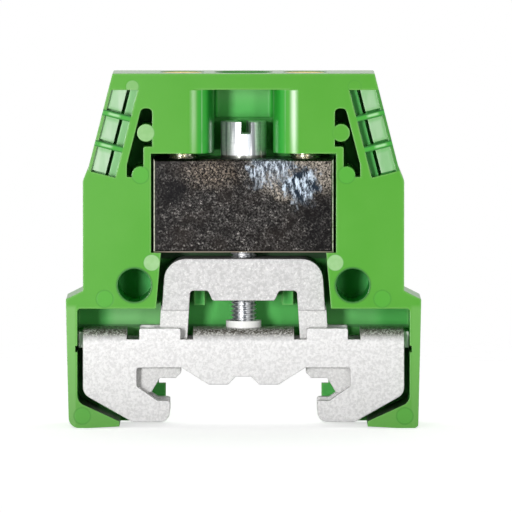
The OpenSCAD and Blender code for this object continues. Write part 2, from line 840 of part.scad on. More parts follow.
module rail_foot() {
    thread_r = rail_thread_d / 2 + thread_clear;
    color("#e6e6e2")
        difference() {
            union() {
                for (y = [-foot_back, flange_in])
                    slab(y, y + foot_t) {
                        flange_outline();
                        tab_outline();
                    }
                bent_stretch(-window_in, window_in);
                both_sides() {
                    bent_stretch(window_out, foot_half);
                    translate([foot_half - over, -ear_d / 2, web_bottom_z - ear_drop])
                        cube([ear_len + over, ear_d, ear_h]);
                }
                translate([0, 0, web_bottom_z])
                    cylinder(r = thread_r + collar_wall, h = foot_t + collar_h);
            }
            translate([0, 0, web_bottom_z - over])
                cylinder(r = thread_r, h = foot_t + collar_h + 2 * over);
        }
}

housing();
terminal_body();
clamp_screw_left();
clamp_screw_right();
rail_screw();
clamp_yoke();
rail_foot();
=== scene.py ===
"""Looks of the earth terminal block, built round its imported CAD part.

Places and sizes are in millimetres, in the part's own axes; times MM they are Blender's metres.
"""

import json
import math

import bmesh
import bpy
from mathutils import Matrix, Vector


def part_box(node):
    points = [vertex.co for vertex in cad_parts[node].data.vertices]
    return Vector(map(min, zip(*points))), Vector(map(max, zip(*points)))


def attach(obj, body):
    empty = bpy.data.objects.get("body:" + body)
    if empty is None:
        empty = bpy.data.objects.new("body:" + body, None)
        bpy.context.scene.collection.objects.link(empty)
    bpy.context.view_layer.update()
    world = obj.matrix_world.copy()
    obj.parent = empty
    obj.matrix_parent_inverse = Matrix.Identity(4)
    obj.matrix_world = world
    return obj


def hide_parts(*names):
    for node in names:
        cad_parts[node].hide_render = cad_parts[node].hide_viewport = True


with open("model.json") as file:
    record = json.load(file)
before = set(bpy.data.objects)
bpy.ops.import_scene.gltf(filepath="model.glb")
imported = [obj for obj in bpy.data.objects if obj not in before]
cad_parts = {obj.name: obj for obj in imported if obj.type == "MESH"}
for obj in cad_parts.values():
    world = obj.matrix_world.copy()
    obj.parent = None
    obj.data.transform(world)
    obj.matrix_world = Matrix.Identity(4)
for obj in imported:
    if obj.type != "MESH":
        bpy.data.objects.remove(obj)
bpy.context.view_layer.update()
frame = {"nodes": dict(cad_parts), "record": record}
nodes = frame["nodes"]
mounts = {mount["name"]: mount for mount in frame["record"]["mounts"]}
MM = 0.001
WHITE = (1, 1, 1, 1)

# Housing: its open front, its depth and its top
housing_low, housing_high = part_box("housing")
FRONT_Y = housing_low.y / MM
HOUSING_DEPTH = (housing_high.y - housing_low.y) / MM
TOP_Z = housing_high.z / MM
# Floors behind the front: of the marker cells, of the strips beside them and of the foot's space
CELL_DEPTH = 0.8
STRIP_DEPTH = 2.4
BACK_WALL_DEPTH = 14.6
# Pillars beside the well: reach from the middle, bottom, top, and height from which their painted highlight
# is full
PILLAR_REACH = 11.5
PILLAR_BOTTOM = 51
PILLAR_TOP = 65
PILLAR_HIGHLIGHT_Z = 59
# Back of the well: half width, and the heights between which its painted sheen sets in
WELL_HALF = 5.5
WELL_SHEEN_Z = (60, 66)
# Depths between which the back walls get their painted sheen and the inner walls turn matt
SHEEN_DEPTH = (4, 9)
MATT_DEPTH = (5, 9)
# Skirts: start from the middle, and top. Pads: height below which they are fully paler, and top
SKIRT_X = 32.6
SKIRT_TOP = 23
PAD_PALE_Z = 2
PAD_TOP = 9
# Space of the foot: middle of each half and reach of the painted sheen there, and height of the painted shade
# line on its back
FOOT_SPACE_X = 19.5
FOOT_SPACE_Z = 18.3
FOOT_SPACE_REACH = 5
BACK_LINE_Z = 18.8
# Gap between the terminal body and the yoke
YOKE_GAP_Z = 33.3
YOKE_GAP_HALF = 1.2
# Peg holes: middle of the right one, and radius
PEG_HOLE = (mounts["peg_hole_right"]["pos_m"][0] / MM, mounts["peg_hole_right"]["pos_m"][2] / MM)
PEG_HOLE_R = mounts["peg_hole_right"]["dims"]["r_mm"]
# Slants with the marker cells: half width at the top and lean, then the cells' rim, width, top and end
TOP_HALF = 25.2
SLANT_LEAN = math.atan2(4.6, 18)
CELL_RIM = 0.65
CELLS_IN = 5.5
CELLS_TOP = 65.2
CELLS_END = 19.28
# Ribs across the cells: distances from the top along the slant, half width, and where they shine
RIBS = [7.62, 13.72]
RIB_HALF = 0.57
RIB_SHINE_IN = 2.3
# Round marks of the mould on the front: distance from the middle, height, radius, paleness left and right
FRONT_MARKS = [
    (21.35, 65.8, 1.25, 0.38, 0.0),
    (26.7, 24.95, 1.65, 0.0, 0.0),
    (17.65, 31.9, 1.6, 0.75, 0.75),
    (31.05, 2.35, 1.6, 0.0, 0.0),
    (18.8, 56.9, 1.7, 0.6, 0.0),
    (19.8, 48.8, 1.65, 0.0, 0.0),
]

# Yoke: the line on its legs, below which they get painted light, a paler colour
YOKE_LINE_Z = 22.6
# Foot: half width between its ears, tops of the hooks' inner sides and of the lips, height of the bends,
# and the height above which its tabs and collar are painted near white as painted light
FOOT_HALF = 30.95
HOOK_TOP = 13
LIP_TOP = 10
BEND_Z = 17.8
PAINTED_WHITE_Z = 19
# Heights that leave a piece without paler metal below or above them
NONE_BELOW = -1
NONE_ABOVE = TOP_Z

# Terminal body: its top, where its bevels get their painted highlight, and the forward part of their normal
BLOCK_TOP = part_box("terminal_body")[1].z / MM
BEVEL_HIGHLIGHT_Y = -6.8
BEVEL_TURN = -0.707
# Its dark ends: places between which they set in
LEFT_END_X = (-12, -16.5)
RIGHT_END_X = (9, 13)
RIGHT_END_Z = (46, 42)
# Its round patches: middle as distance and height, and the radii between which they set in
TAN_PATCH = (-6, 49.2)
TAN_RADII = (8, 1.5)
DARK_PATCH = (-13, 45.5)
DARK_PATCH_RADII = (3.2, 1.4)
LOWER_PATCH = (10.8, 47)
LOWER_RADII = (4.6, 2.2)
# Its upper bluish patch, a painted reflection: middle, and heights between which it sets in
UPPER_PATCH_X = 5.2
UPPER_PATCH_Z = (45.5, 50)
# Its beige flecks: places between which they set in
FLECKS_X = (2, 5)
FLECKS_Z = (44, 48)
# Its slanting beige bar: a point on it, the direction across it, and heights between which it sets in
BAR_POINT = (6, 47)
BAR_ACROSS = (0.77, 0.63)
BAR_END_Z = (43, 44.5)
# Lean of the fine and the coarse streaks in the patches
FINE_LEAN = math.radians(-32)
COARSE_LEAN = math.radians(-38)

# Screws: depth of a thread as a share of its pitch, sides of a thread, steps round half a head, sharp angle
THREAD_DEPTH = 0.6
THREAD_SIDES = 40
HEAD_STEPS = 28
SHARP_ANGLE = math.radians(35)

# Floor: size in metres, and the distances between which it fades out
FLOOR_SIZE = 1
FADE_FROM = 70
FADE_TO = 240
# Camera: place, the height that it looks at on the front, lens and sensor, and the range it sees in metres
CAMERA_X = 2.4
CAMERA_Y = -1698
CAMERA_Z = 136
AIM_Z = 33.2
LENS = 619
SENSOR = 36
CLIP_START = 0.1
CLIP_END = 10


def srgb(red, green, blue):
    """Linear colour of an sRGB colour given in 0 to 255."""
    def channel(value):
        value = value / 255
        return value / 12.92 if value <= 0.04045 else ((value + 0.055) / 1.055) ** 2.4
    return (channel(red), channel(green), channel(blue), 1)


class Nodes:
    """Short calls that make and join the nodes of one tree."""

    def __init__(self, tree):
        self.tree = tree

    def add(self, kind, **settings):
        made = self.tree.nodes.new(kind)
        for key, value in settings.items():
            setattr(made, key, value)
        return made

    def put(self, value, socket):
        """Links an output to a socket, or sets a plain value on it."""
        if isinstance(value, bpy.types.NodeSocket):
            self.tree.links.new(value, socket)
        else:
            socket.default_value = value

    def math(self, operation, first, second=0.0):
        made = self.add("ShaderNodeMath", operation=operation)
        self.put(first, made.inputs[0])
        self.put(second, made.inputs[1])
        return made.outputs[0]

    def chain(self, operation, values):
        result = values[0]
        for value in values[1:]:
            result = self.math(operation, result, value)
        return result

    def times(self, *factors):
        return self.chain("MULTIPLY", factors)

    def plus(self, *terms):
        return self.chain("ADD", terms)

    def most(self, *values):
        return self.chain("MAXIMUM", values)

    def minus(self, first, second):
        return self.math("SUBTRACT", first, second)

    def ramp(self, value, from_low, from_high, to_low=0.0, to_high=1.0, curve="SMOOTHSTEP"):
        """Maps one span of values to another, and holds the ends."""
        made = self.add("ShaderNodeMapRange", interpolation_type=curve)
        ends = {"From Min": from_low, "From Max": from_high, "To Min": to_low, "To Max": to_high}
        for name, end in ends.items():
            made.inputs[name].default_value = end
        self.put(value, made.inputs["Value"])
        return made.outputs["Result"]

    def step(self, value, zero_at, one_at):
        """A mask that goes smoothly from 0 to 1; zero_at may be the greater one."""
        return self.ramp(value, zero_at, one_at)

    def span(self, value, low, high):
        """A value from 0 to 1 mapped evenly to the span from low to high."""
        return self.ramp(value, 0.0, 1.0, low, high, curve="LINEAR")

    def near(self, value, target, reach, blur):
        """1 where a value is within reach of a target, fading to 0 over the blur."""
        away = self.math("ABSOLUTE", self.minus(value, target))
        return self.step(away, reach + blur, reach)

    def mix(self, factor, first, second, kind="RGBA"):
        made = self.add("ShaderNodeMix", data_type=kind)
        self.put(factor, made.inputs["Factor"])
        self.put(first, made.inputs["A"])
        self.put(second, made.inputs["B"])
        return made.outputs["Result"]

    def parts(self, vector):
        made = self.add("ShaderNodeSeparateXYZ")
        self.put(vector, made.inputs[0])
        return made.outputs

    def length(self, first, second):
        """Length of a flat offset with two parts."""
        return self.math("SQRT", self.plus(self.times(first, first), self.times(second, second)))


class Shader(Nodes):
    """A node material that is painted colour by colour, by place and by facing in the part's own axes."""

    def __init__(self, name):
        self.mat = bpy.data.materials.new(name)
        self.mat.use_nodes = True
        super().__init__(self.mat.node_tree)
        self.bsdf = self.tree.nodes["Principled BSDF"]
        coordinates = self.add("ShaderNodeTexCoord")
        self.place = coordinates.outputs["Object"]
        in_mm = self.add("ShaderNodeVectorMath", operation="SCALE")
        self.put(self.place, in_mm.inputs[0])
        in_mm.inputs["Scale"].default_value = 1 / MM
        self.x, self.y, self.z = self.parts(in_mm.outputs[0])
        self.turn_x, self.turn_y, self.turn_z = self.parts(coordinates.outputs["Normal"])
        self.from_middle = self.math("ABSOLUTE", self.x)
        self.outward = self.times(self.turn_x, self.math("SIGN", self.x))
        self.colour = WHITE

    def paint(self, colour, *masks, strength=1.0):
        """Lays a colour over what is there, where every mask is 1."""
        self.colour = self.mix(self.times(*masks, strength), self.colour, colour)

    def noise(self, scale, detail, stretch=(1, 1, 1), turn=(0, 0, 0), rough=0.5):
        """Noise with a scale in cells to the metre."""
        mapping = self.add("ShaderNodeMapping")
        mapping.inputs["Scale"].default_value = stretch
        mapping.inputs["Rotation"].default_value = turn
        self.put(self.place, mapping.inputs["Vector"])
        made = self.add("ShaderNodeTexNoise")
        self.put(mapping.outputs["Vector"], made.inputs["Vector"])
        made.inputs["Scale"].default_value = scale
        made.inputs["Detail"].default_value = detail
        made.inputs["Roughness"].default_value = rough
        return made.outputs["Fac"]

    def away(self, across, middle, flatten=1.0):
        """Distance from a middle in the plane of the front; heights count by the factor flatten."""
        middle_across, middle_z = middle
        up = self.times(self.minus(self.z, middle_z), flatten)
        return self.length(self.minus(across, middle_across), up)

    def bump(self, height, strength, distance, below):
        """Normal of a bump on top of the normal below it."""
        made = self.add("ShaderNodeBump")
        made.inputs["Strength"].default_value = strength
        made.inputs["Distance"].default_value = distance * MM
        self.put(height, made.inputs["Height"])
        self.put(below, made.inputs["Normal"])
        return made.outputs["Normal"]

    def soft_edges(self, radius):
        """Normal that rounds the edges off."""
        made = self.add("ShaderNodeBevel", samples=6)
        made.inputs["Radius"].default_value = radius * MM
        return made.outputs["Normal"]

    def edge_mask(self, radius):
        """1 along the edges within a radius and 0 on the flats."""
        made = self.add("ShaderNodeVectorMath", operation="DOT_PRODUCT")
        self.put(self.soft_edges(radius), made.inputs[0])
        self.put(self.add("ShaderNodeNewGeometry").outputs["Normal"], made.inputs[1])
        return self.step(made.outputs["Value"], 0.97, 0.8)

    def finish(self, **inputs):
        """Joins the painted colour and the other named inputs to the surface."""
        inputs["base_color"] = self.colour
        for key, value in inputs.items():
            self.put(value, self.bsdf.inputs[key.replace("_", " ").title()])
        return self.mat


class HousingShader(Shader):
    """The housing's material, with masks by the depth behind its open front."""

    def __init__(self, name):
        super().__init__(name)
        self.depth = self.minus(self.y, FRONT_Y)
        self.left = self.step(self.x, 0.5, -0.5)
        self.front = self.step(self.turn_y, -0.8, -0.95)
        self.on_face = self.flat_at(0)
        self.inside = self.times(self.step(self.depth, 0.1, 0.5),
                                 self.step(self.depth, HOUSING_DEPTH - 0.1, HOUSING_DEPTH - 0.5))

    def flat_at(self, depth):
        """1 on what faces the front at a depth."""
        return self.times(self.front, self.near(self.depth, depth, reach=0.1, blur=0.05))

    def by_side(self, left, right):
        """One strength on the left half and another on the right half."""
        return self.span(self.left, right, left)


def green_moulding():
    """Green plastic with painted light and shade: painted highlights on edges and pillars, paler skirts and
    pads, a cooler green inside as painted shade, painted shade in the gaps, and the marks of the mould.
    """
    s = HousingShader("green_moulding")
    cloud = s.noise(scale=60, detail=3)
    grain = s.noise(scale=2600, detail=2)
    s.colour = s.mix(s.step(cloud, 0.3, 0.7), srgb(85, 171, 48), srgb(92, 175, 56))

    # Inner walls in a cooler, fresher green: painted shade, against the yellower lit outside
    inner = s.times(s.inside, s.step(s.depth, 0.15, 1.3), s.step(s.outward, 0.6, 0.3),
                    s.step(s.turn_z, 0.7, 0.3))
    s.paint(srgb(54, 174, 58), inner)

    pillar = paint_pillars(s)
    paint_pale_edges(s, pillar)
    paint_recesses(s)
    paint_peg_holes(s)
    paint_cells(s)
    rings = paint_marks(s)
    # A painted shade line across the back of the foot's space
    line = s.times(s.flat_at(BACK_WALL_DEPTH), s.near(s.z, BACK_LINE_Z, reach=0.2, blur=0.15))
    s.paint(srgb(30, 95, 40), line, strength=0.55)

    # Fine grain all over, matt in the depth and glossier on the flat front and top
    surface = s.bump(grain, strength=0.1, distance=0.04, below=s.soft_edges(radius=0.2))
    surface = s.bump(s.minus(1.0, rings), strength=0.1, distance=0.05, below=surface)
    flat = s.most(s.step(s.turn_y, -0.985, -0.998), s.step(s.turn_z, 0.9, 0.98))
    deep = s.times(inner, s.step(s.depth, *MATT_DEPTH))
    rough = s.plus(s.span(grain, 0.29, 0.34), s.times(deep, 0.25))
    return s.finish(roughness=s.minus(rough, s.times(flat, 0.07)), normal=surface)


def paint_pillars(s):
    """Pillars beside the well: a painted highlight where they start to turn inwards, then a deeper green as
    painted shade, then darker painted shade.
    """
    pillar = s.times(s.step(s.from_middle, PILLAR_REACH + 0.5, PILLAR_REACH),
                     s.step(s.z, PILLAR_BOTTOM - 1, PILLAR_BOTTOM),
                     s.step(s.z, PILLAR_TOP + 0.2, PILLAR_TOP - 0.1))
    # Painted highlight where they start to turn inwards, stronger on the right
    pale_mark = s.times(pillar, s.step(s.depth, 1.5, 1), s.near(s.outward, -0.22, reach=0.03, blur=0.14),
                     s.step(s.z, PILLAR_BOTTOM, PILLAR_HIGHLIGHT_Z))
    s.paint(srgb(214, 236, 206), pale_mark, s.by_side(left=0.2, right=0.45))
    # Painted shade: a deeper green further in, stronger on the left
    s.paint(srgb(40, 174, 46), pillar, s.step(s.outward, -0.26, -0.42), s.by_side(left=0.75, right=0.25))
    # Painted shade: darker still deeper in, stronger on the left
    pillar_shade = s.times(pillar, s.step(s.outward, -0.5, -0.75), s.step(s.depth, 1.1, 2.2))
    s.paint(srgb(22, 104, 38), pillar_shade, s.by_side(left=0.8, right=0.25))
    return pillar


def paint_pale_edges(s, pillar):
    """Paler edges, a painted highlight, apart from the pillars, and skirts and pads that are paler all over.
    """
    # Painted highlight along the edges, apart from the pillars
    edge_highlight = s.times(s.edge_mask(radius=0.9), s.minus(1.0, pillar), 0.42)
    skirt = s.times(s.step(s.from_middle, SKIRT_X - 0.7, SKIRT_X), s.step(s.z, SKIRT_TOP + 1, SKIRT_TOP),
                    s.by_side(left=0.5, right=0.3))
    pad = s.times(s.step(s.z, PAD_TOP, PAD_PALE_Z), 0.22)
    s.paint(srgb(150, 205, 125), s.most(edge_highlight, s.times(s.on_face, s.most(skirt, pad))))


def paint_recesses(s):
    """A painted sheen on the back of the foot's space and of the well, and painted shade in the gaps."""
    # A painted sheen on the back walls, stronger on the left
    recess = s.times(s.front, s.step(s.depth, *SHEEN_DEPTH))
    beside = s.times(s.near(s.z, FOOT_SPACE_Z, reach=FOOT_SPACE_REACH, blur=0.3),
                     s.near(s.from_middle, FOOT_SPACE_X, reach=FOOT_SPACE_REACH, blur=3),
                     s.by_side(left=0.7, right=0.25))
    behind = s.times(s.step(s.z, *WELL_SHEEN_Z), s.step(s.from_middle, WELL_HALF + 0.5, WELL_HALF), 0.5)
    s.paint(srgb(128, 200, 118), recess, s.plus(beside, behind))

    # Painted shade behind the gap over the yoke, and on the slopes of the pads
    gap = s.times(recess, s.near(s.z, YOKE_GAP_Z, reach=YOKE_GAP_HALF, blur=0.5), 0.8)
    slope = s.times(s.inside, s.step(s.turn_z, 0.3, 0.6), s.step(s.z, PAD_TOP, PAD_TOP - 0.5), 0.9)
    s.paint(srgb(20, 46, 20), s.most(gap, slope))


def paint_peg_holes(s):
    """Peg holes with walls in a deeper green and a soft dark rim, both painted shade."""
    away = s.away(s.from_middle, PEG_HOLE)
    # Painted shade: the holes' walls in a deeper, bluer green
    s.paint(srgb(24, 172, 62), s.inside, s.step(away, PEG_HOLE_R + 0.15, PEG_HOLE_R + 0.05), strength=0.85)
    # Painted shade: a soft dark ring round the rim
    s.paint(srgb(8, 92, 38), s.on_face, s.near(away, PEG_HOLE_R, reach=0.02, blur=0.55), strength=0.8)


def paint_cells(s):
    """Marker cells on the slants: pale floors, strips and grooves beside them, rims and ribs."""
    lean_sin = math.sin(SLANT_LEAN)
    lean_cos = math.cos(SLANT_LEAN)
    out = s.minus(s.from_middle, TOP_HALF)
    down = s.minus(TOP_Z, s.z)
    inward = s.minus(s.times(down, lean_sin), s.times(out, lean_cos))
    along = s.plus(s.times(down, lean_cos), s.times(out, lean_sin))
    cells = s.times(s.step(inward, CELLS_IN + 0.05, CELLS_IN - 0.05),
                    s.step(s.z, CELLS_TOP + 0.1, CELLS_TOP - 0.1),
                    s.step(along, CELLS_END + 0.05, CELLS_END))

    # Floors with a painted sheen, stronger on the left, greener towards their edges
    streak = s.noise(scale=520, detail=3, stretch=(1, 1, 0.2))
    pale = s.mix(s.step(streak, 0.35, 0.65), srgb(172, 212, 168), srgb(202, 226, 198))
    border = s.most(s.step(inward, CELL_RIM + 0.8, CELL_RIM),
                    *(s.near(along, rib, reach=RIB_HALF + 0.3, blur=0.8) for rib in RIBS))
    s.paint(pale, s.flat_at(CELL_DEPTH), s.span(border, 1.0, 0.6), s.by_side(left=1.0, right=0.6))
    # Strips beside the floors: painted light on the left and painted shade on the right
    strip = s.mix(s.left, srgb(70, 162, 76), srgb(152, 208, 148))
    s.paint(strip, s.flat_at(STRIP_DEPTH), cells, strength=0.9)
    # Grooves painted a bright green, painted light in their depth
    groove = s.times(s.inside, cells, s.step(inward, CELL_RIM - 0.05, CELL_RIM + 0.05),
                     s.step(s.depth, STRIP_DEPTH + 0.1, STRIP_DEPTH + 0.3))
    s.paint(srgb(120, 226, 130), groove, strength=0.8)

    # Rims, shaded on the right
    rim = s.times(s.on_face, cells, s.step(inward, CELL_RIM + 0.05, CELL_RIM - 0.05))
    s.paint(s.mix(s.left, srgb(48, 126, 52), srgb(116, 176, 94)), rim, strength=0.65)

    # Ribs with painted shade on their sides and a painted highlight in the middle
    for rib in RIBS:
        body = s.times(s.on_face, cells, s.near(along, rib, reach=RIB_HALF, blur=0.03))
        upper = s.near(along, rib - RIB_HALF, reach=0.15, blur=0.2)
        lower = s.near(along, rib + RIB_HALF, reach=0.1, blur=0.2)
        shine = s.times(s.near(along, rib, reach=0.1, blur=0.25),
                        s.near(inward, RIB_SHINE_IN, reach=0.6, blur=0.9))
        s.paint(srgb(62, 174, 60), body, strength=0.75)
        s.paint(srgb(24, 104, 40), body, s.most(upper, s.times(lower, 0.7)), strength=0.85)
        s.paint(srgb(180, 232, 172), body, shine, strength=0.85)


def paint_marks(s):
    """Round marks that the mould left, each with a fine groove round it; gives the grooves' mask."""
    patchy = s.noise(scale=900, detail=3)
    rings = []
    for across, height, radius, pale_left, pale_right in FRONT_MARKS:
        away = s.away(s.from_middle, (across, height))
        disc = s.times(s.on_face, s.step(away, radius + 0.05, radius - 0.15))
        ring = s.times(s.on_face, s.near(away, radius, reach=0.04, blur=0.18))
        pale_mark = pale_left or pale_right
        if pale_mark:
            s.paint(srgb(176, 218, 160), disc, s.by_side(pale_left, pale_right), s.span(patchy, 0.7, 1.3))
        else:
            s.paint(srgb(84, 182, 58), disc, strength=0.5)
        # Painted shade in the fine groove round each mark
        s.paint(srgb(66, 148, 48), ring, strength=0.2 if pale_mark else 0.5)
        rings.append(ring)
    return s.plus(*rings)


def matte_zinc(name, dark, light, pale_below=NONE_BELOW, pale_above=NONE_ABOVE):
    """Mottled zinc with painted light: near white above a height and on its ears, lips and inward sides, and
    a bit paler below another height.
    """
    s = Shader(name)
    mottle = s.noise(scale=1700, detail=4, rough=0.7)
    speck = s.noise(scale=2400, detail=3, rough=0.8)
    pit = s.noise(scale=1400, detail=5, rough=0.8)
    flake = s.noise(scale=2700, detail=3, rough=0.8)
    s.colour = s.mix(s.step(mottle, 0.4, 0.6), dark, light)
    s.paint(srgb(160, 157, 150), s.step(pit, 0.6, 0.7), strength=0.5)
    s.paint(srgb(246, 245, 242), s.step(flake, 0.54, 0.64), strength=0.4)

    # Painted light: near white on the ears, lips, sides that face the middle and what lies above a height
    ear = s.step(s.from_middle, FOOT_HALF + 0.02, FOOT_HALF + 0.1)
    lip = s.times(s.step(s.turn_z, 0.2, 0.5), s.step(s.z, LIP_TOP, LIP_TOP - 0.5))
    facing_in = s.times(s.step(s.outward, -0.4, -0.7), s.step(s.z, HOOK_TOP, HOOK_TOP - 0.5), 0.6)
    painted_white = s.most(ear, lip, facing_in, s.step(s.z, pale_above, pale_above + 0.08))
    # Painted light: a bit paler below a height
    low = s.times(s.step(s.z, pale_below, pale_below - 0.2), 0.16)
    s.paint(srgb(252, 252, 249), s.most(low, painted_white))

    # A painted dark reflection, speckled, on the upward faces of the bends between the web and the flanges
    upward = s.plus(s.turn_z, s.span(speck, -0.4, 0.4))
    bend = s.times(s.near(s.z, BEND_Z, reach=1.12, blur=0.12), s.step(upward, 0.35, 0.75))
    s.paint(s.mix(s.step(speck, 0.47, 0.56), srgb(92, 88, 76), srgb(226, 225, 220)), bend)

    surface = s.bump(mottle, strength=0.2, distance=0.1, below=s.soft_edges(radius=0.25))
    surface = s.bump(speck, strength=0.25, distance=0.05, below=surface)
    return s.finish(metallic=s.span(painted_white, 0.45, 0.0), roughness=s.span(mottle, 0.48, 0.6), normal=surface)


def nickel_plate():
    """Dark hammered plate with smudges, stains and patches, painted glints and reflections, and bevels with a
    painted highlight.
    """
    s = Shader("nickel_plate")
    hammer = s.noise(scale=2600, detail=4, rough=0.8)
    smudge = s.noise(scale=900, detail=5, rough=0.7)
    blotch = s.noise(scale=420, detail=4, rough=0.65)
    stain = s.noise(scale=150, detail=3)
    s.colour = s.mix(s.step(hammer, 0.42, 0.68), srgb(30, 29, 29), srgb(116, 113, 110))
    s.paint(srgb(30, 29, 29), s.step(smudge, 0.6, 0.45), strength=0.6)
    # Brightest flecks in the hammered speckle: painted glints
    s.paint(srgb(196, 190, 182), s.step(hammer, 0.6, 0.68), s.step(smudge, 0.48, 0.58))
    s.paint(srgb(24, 23, 23), s.step(blotch, 0.48, 0.62), strength=0.7)
    s.paint(srgb(42, 37, 34), s.step(stain, 0.45, 0.7), strength=0.45)
    ends = s.most(s.step(s.x, *LEFT_END_X), s.times(s.step(s.x, *RIGHT_END_X), s.step(s.z, *RIGHT_END_Z)))
    s.paint(srgb(22, 22, 23), ends, strength=0.5)
    paint_patches(s, hammer, blotch)

    # Bevels with a painted highlight along their outer half, the lower one dimmer
    bevel = s.times(s.near(s.turn_y, BEVEL_TURN, reach=0.05, blur=0.1), s.step(s.turn_z, 0.4, 0.2),
                    s.step(s.y, BEVEL_HIGHLIGHT_Y - 0.08, BEVEL_HIGHLIGHT_Y))
    edge_highlight = s.mix(s.step(hammer, 0.36, 0.52), srgb(128, 114, 94), srgb(252, 246, 232))
    s.paint(s.mix(s.step(s.turn_z, -0.2, -0.4), edge_highlight, srgb(160, 148, 134)), bevel)

    speck = s.step(hammer, 0.48, 0.72)
    surface = s.bump(hammer, strength=0.35, distance=0.06, below=s.soft_edges(radius=0.15))
    return s.finish(metallic=s.minus(1.0, s.times(bevel, 0.9)),
                    roughness=s.plus(s.span(speck, 0.28, 0.36), s.times(bevel, 0.2)), normal=surface)


def paint_patches(s, hammer, blotch):
    """Patches on the terminal body: tan and dark to the left, beige and bluish to the right; the bluish ones
    are painted reflections.
    """
    tan = s.step(s.away(s.x, TAN_PATCH, flatten=1.8), *TAN_RADII)
    s.paint(srgb(158, 142, 124), tan, s.step(hammer, 0.44, 0.66), strength=0.6)

    # Beige flecks and a slanting beige bar
    flecks = s.times(s.step(s.x, *FLECKS_X), s.step(s.z, *FLECKS_Z))
    from_bar = s.plus(s.times(s.minus(s.x, BAR_POINT[0]), BAR_ACROSS[0]),
                      s.times(s.minus(s.z, BAR_POINT[1]), BAR_ACROSS[1]), s.span(blotch, -2, 2))
    bar = s.times(s.near(from_bar, 0, reach=0.9, blur=1), s.step(s.z, *BAR_END_Z))
    s.paint(srgb(198, 187, 172), s.most(flecks, bar), s.step(hammer, 0.4, 0.66), strength=0.75)

    dark_patch = s.step(s.away(s.x, DARK_PATCH), *DARK_PATCH_RADII)
    s.paint(srgb(24, 24, 25), dark_patch, strength=0.75)

    # Painted reflections: bluish patches with ragged edges, finely streaked above and coarsely below
    ragged = s.span(blotch, -4, 4)
    fine = s.noise(scale=2400, detail=4, stretch=(1, 1, 0.3), turn=(0, FINE_LEAN, 0), rough=0.75)
    upper = s.times(s.near(s.plus(s.x, ragged), UPPER_PATCH_X, reach=3.2, blur=1.6),
                    s.step(s.plus(s.z, ragged), *UPPER_PATCH_Z))
    s.paint(s.mix(s.step(fine, 0.46, 0.6), srgb(62, 70, 80), srgb(206, 218, 230)), upper, strength=0.9)
    coarse = s.noise(scale=1500, detail=4, stretch=(1, 1, 0.4), turn=(0, COARSE_LEAN, 0), rough=0.7)
    lower = s.step(s.plus(s.away(s.x, LOWER_PATCH), ragged), *LOWER_RADII)
    s.paint(s.mix(s.step(coarse, 0.45, 0.64), srgb(34, 42, 52), srgb(200, 214, 228)), lower)


def plated_screw(name, dark, light, roughness, metallic, band):
    """Turned metal with darker streaks that are painted reflections, and another colour in a band between two
    heights, which on the rail screw is a painted shadow.
    """
    s = Shader(name)
    bottom, top, band_colour = band
    lathe = s.noise(scale=900, detail=3, stretch=(1, 1, 6))
    reflection_streaks = s.noise(scale=1100, detail=3, stretch=(1, 1, 0.06))
    spot = s.noise(scale=500, detail=3)
    s.colour = s.mix(s.span(lathe, 0.6, 1.1), dark, light)
    # Painted reflections: darker vertical streaks
    s.paint(dark, s.step(reflection_streaks, 0.5, 0.62), strength=0.75)
    s.paint(dark, s.step(spot, 0.6, 0.75), strength=0.3)
    # A band in another colour; on the rail screw it is a painted shadow
    s.paint(band_colour, s.step(s.z, bottom - 0.3, bottom), s.step(s.z, top + 0.3, top))
    surface = s.bump(lathe, strength=0.03, distance=0.03, below=s.soft_edges(radius=0.12))
    return s.finish(metallic=metallic, roughness=s.span(lathe, roughness, roughness + 0.1), normal=surface)


def dress(obj, mat):
    obj.data.materials.clear()
    obj.data.materials.append(mat)


def thread(bm, bottom, top, radius, pitch, tip_r, tip_h):
    """Adds a helical thread round the Z axis, in metres; it tapers to tip_r over tip_h at its bottom."""
    root = radius - THREAD_DEPTH * pitch
    # Share of the pitch and radius at the ends of the crest and of the root
    profile = [(0.06, root), (0.44, radius), (0.56, radius), (0.94, root)]
    turns = math.ceil((top - bottom) / pitch) + 2
    angles = [2 * math.pi * side / THREAD_SIDES for side in range(THREAD_SIDES)]
    grid = []
    for side, angle in enumerate(angles):
        column = []
        for turn in range(-1, turns):
            for share, r in profile:
                height = min(max(bottom + (turn + share + side / THREAD_SIDES) * pitch, bottom), top)
                r = min(r, tip_r + (height - bottom) * (radius - tip_r) / tip_h)
                column.append(bm.verts.new((r * math.cos(angle), r * math.sin(angle), height)))
        grid.append(column)

    # The last column joins the first one a turn higher; faces squeezed flat at the ends are left out
    least_height = pitch / 1000
    for side, column in enumerate(grid):
        after = grid[(side + 1) % THREAD_SIDES]
        rise = len(profile) if side == THREAD_SIDES - 1 else 0
        for row in range(len(column) - 1 - rise):
            corners = (column[row], after[row + rise], after[row + rise + 1], column[row + 1])
            heights = [corner.co.z for corner in corners]
            if max(heights) - min(heights) > least_height:
                bm.faces.new(corners).smooth = True
    cap = [bm.verts.new((tip_r * math.cos(angle), tip_r * math.sin(angle), bottom)) for angle in angles]
    bm.faces.new(reversed(cap))


